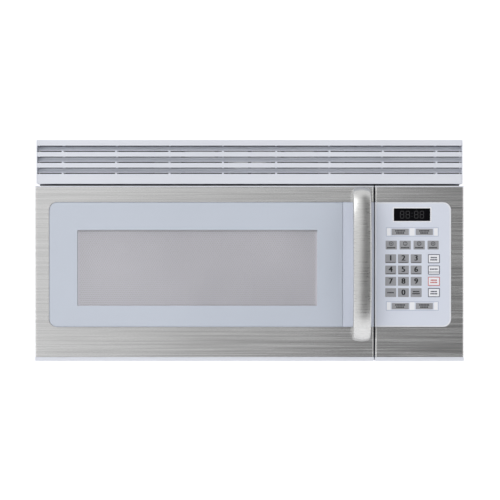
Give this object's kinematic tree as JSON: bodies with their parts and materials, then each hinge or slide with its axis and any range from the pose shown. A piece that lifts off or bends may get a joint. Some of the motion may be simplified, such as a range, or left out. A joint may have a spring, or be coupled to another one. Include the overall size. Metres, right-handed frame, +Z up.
{
  "type": "over the range microwave oven",
  "caption": "Wall-hung microwave oven with a hinged window door, bowed handle, keypad panel, turntable, louvred vent grille, vent blower and grease filters in its base.",
  "frame": {"origin": "middle of the back face, where the oven hangs against the wall", "axes": "+X across the width towards the control panel's side, +Y out of the back towards the wall, +Z up; the door faces -Y"},
  "size_m": [0.759, 0.4233, 0.392],
  "materials": {
    "brushed_steel": "brushed along the width",
    "white_plastic": "satin moulded",
    "inset_white": "glossy, cool white",
    "case_paint": "pale grey paint",
    "cavity_enamel": "semi gloss enamel",
    "zinc_steel": "galvanised",
    "filter_aluminium": "satin mesh",
    "black_plastic": "moulded",
    "grey_plastic": "moulded",
    "display_black": "smoked window",
    "glass": "clear",
    "screen_grey": "perforated, painted",
    "circuit_green": "solder mask",
    "winding": "varnished",
    "mica": "pressed sheet"
  },
  "bodies": {
    "cabinet": {"case_wrap": "case_paint", "back_plate": "zinc_steel", "base_plate": "case_paint", "front_plate": "case_paint", "front_header": "case_paint", "oven_cavity": "cavity_enamel", "cavity_side": "cavity_enamel", "waveguide": "zinc_steel", "waveguide_cover": "mica", "magnetron": "zinc_steel", "transformer": "winding", "capacitor": "zinc_steel", "cooling_fan_shroud": "black_plastic", "cooling_fan_motor": "zinc_steel", "blower_housing_left": "black_plastic", "blower_housing_right": "black_plastic", "blower_motor": "zinc_steel", "oven_lamp": "zinc_steel", "lamp_housing": "zinc_steel", "cooktop_lamp": "glass", "turntable_motor": "zinc_steel", "vent_grille": "white_plastic", "charcoal_filter": "black_plastic", "hinge_bracket_bottom": "zinc_steel", "hinge_bracket_top": "zinc_steel", "control_housing": "white_plastic", "control_skin": "brushed_steel", "keypad_overlay": "inset_white", "display_lens": "display_black", "control_board": "circuit_green", "latch_bracket": "grey_plastic", "primary_switch": "black_plastic", "secondary_switch": "black_plastic", "monitor_switch": "black_plastic"},
    "door": {"door_frame": "white_plastic", "door_skin": "brushed_steel", "window_panel": "inset_white", "handle_strip": "inset_white", "door_screen": "screen_grey", "choke_pan": "zinc_steel", "choke_cover": "white_plastic", "inner_glass": "glass", "hinge_bush_bottom": "grey_plastic", "hinge_bush_top": "grey_plastic", "door_handle": "brushed_steel", "latch_spring": "brushed_steel"},
    "latch": {"latch_bar": "grey_plastic"},
    "coupler": {"turntable_coupler": "white_plastic"},
    "tray": {"glass_tray": "glass"},
    "ring": {"roller_ring": "white_plastic"},
    "wheel_1": {"roller_1": "white_plastic"},
    "wheel_2": {"roller_2": "white_plastic"},
    "wheel_3": {"roller_3": "white_plastic"},
    "vent_rotor": {"blower_wheel_left": "black_plastic", "blower_wheel_right": "black_plastic", "blower_shaft": "brushed_steel"},
    "fan_rotor": {"cooling_fan_blade": "grey_plastic"},
    "left_filter": {"grease_filter_left": "filter_aluminium"},
    "right_filter": {"grease_filter_right": "filter_aluminium"},
    "lens": {"lamp_cover": "glass"}
  },
  "joints": [
    {"name": "door_hinge", "type": "hinge", "parent": "cabinet", "child": "door", "pos_m": [-0.366, -0.37, -0.041], "axis": [0, 0, -1], "range_deg": [0, 110]},
    {"name": "latch_slide", "type": "slide", "parent": "door", "child": "latch", "axis": [0, 0, 1], "range_m": [0, 0.004], "stiffness_N_per_m": 300, "springref_m": -0.008, "deforming": ["latch_spring"]},
    {"name": "turntable_spin", "type": "hinge", "parent": "cabinet", "child": "coupler", "pos_m": [-0.09005, -0.18275, -0.14], "axis": [0, 0, 1], "continuous": true},
    {"name": "tray_lift", "type": "slide", "parent": "coupler", "child": "tray", "axis": [0, 0, 1], "range_m": [0, 0.03]},
    {"name": "ring_spin", "type": "hinge", "parent": "cabinet", "child": "ring", "pos_m": [-0.09005, -0.18275, -0.1352], "axis": [0, 0, 1], "continuous": true},
    {"name": "roller_1_spin", "type": "hinge", "parent": "ring", "child": "wheel_1", "pos_m": [-0.09005, -0.07475, -0.1352], "axis": [0, 1, 0], "continuous": true},
    {"name": "roller_2_spin", "type": "hinge", "parent": "ring", "child": "wheel_2", "pos_m": [-0.18358, -0.23675, -0.1352], "axis": [-0.866, -0.5, 0], "continuous": true},
    {"name": "roller_3_spin", "type": "hinge", "parent": "ring", "child": "wheel_3", "pos_m": [0.00348, -0.23675, -0.1352], "axis": [0.866, -0.5, 0], "continuous": true},
    {"name": "blower_spin", "type": "hinge", "parent": "cabinet", "child": "vent_rotor", "pos_m": [0, -0.072, 0.1363], "axis": [1, 0, 0], "continuous": true},
    {"name": "cooling_fan_spin", "type": "hinge", "parent": "cabinet", "child": "fan_rotor", "pos_m": [0.2619, -0.05, 0.016], "axis": [0, 1, 0], "continuous": true},
    {"name": "left_filter_drop", "type": "slide", "parent": "cabinet", "child": "left_filter", "axis": [0, 0, -1], "range_m": [0, 0.06]},
    {"name": "right_filter_drop", "type": "slide", "parent": "cabinet", "child": "right_filter", "axis": [0, 0, -1], "range_m": [0, 0.06]},
    {"name": "lamp_cover_swing", "type": "hinge", "parent": "cabinet", "child": "lens", "pos_m": [0, -0.273, -0.1938], "axis": [1, 0, 0], "range_deg": [0, 90]}
  ],
  "couplings": [
    {"joint": "ring_spin", "follows": "turntable_spin", "ratio": 0.5},
    {"joint": "roller_1_spin", "follows": "turntable_spin", "ratio": -6.3529},
    {"joint": "roller_2_spin", "follows": "turntable_spin", "ratio": -6.3529},
    {"joint": "roller_3_spin", "follows": "turntable_spin", "ratio": -6.3529}
  ]
}
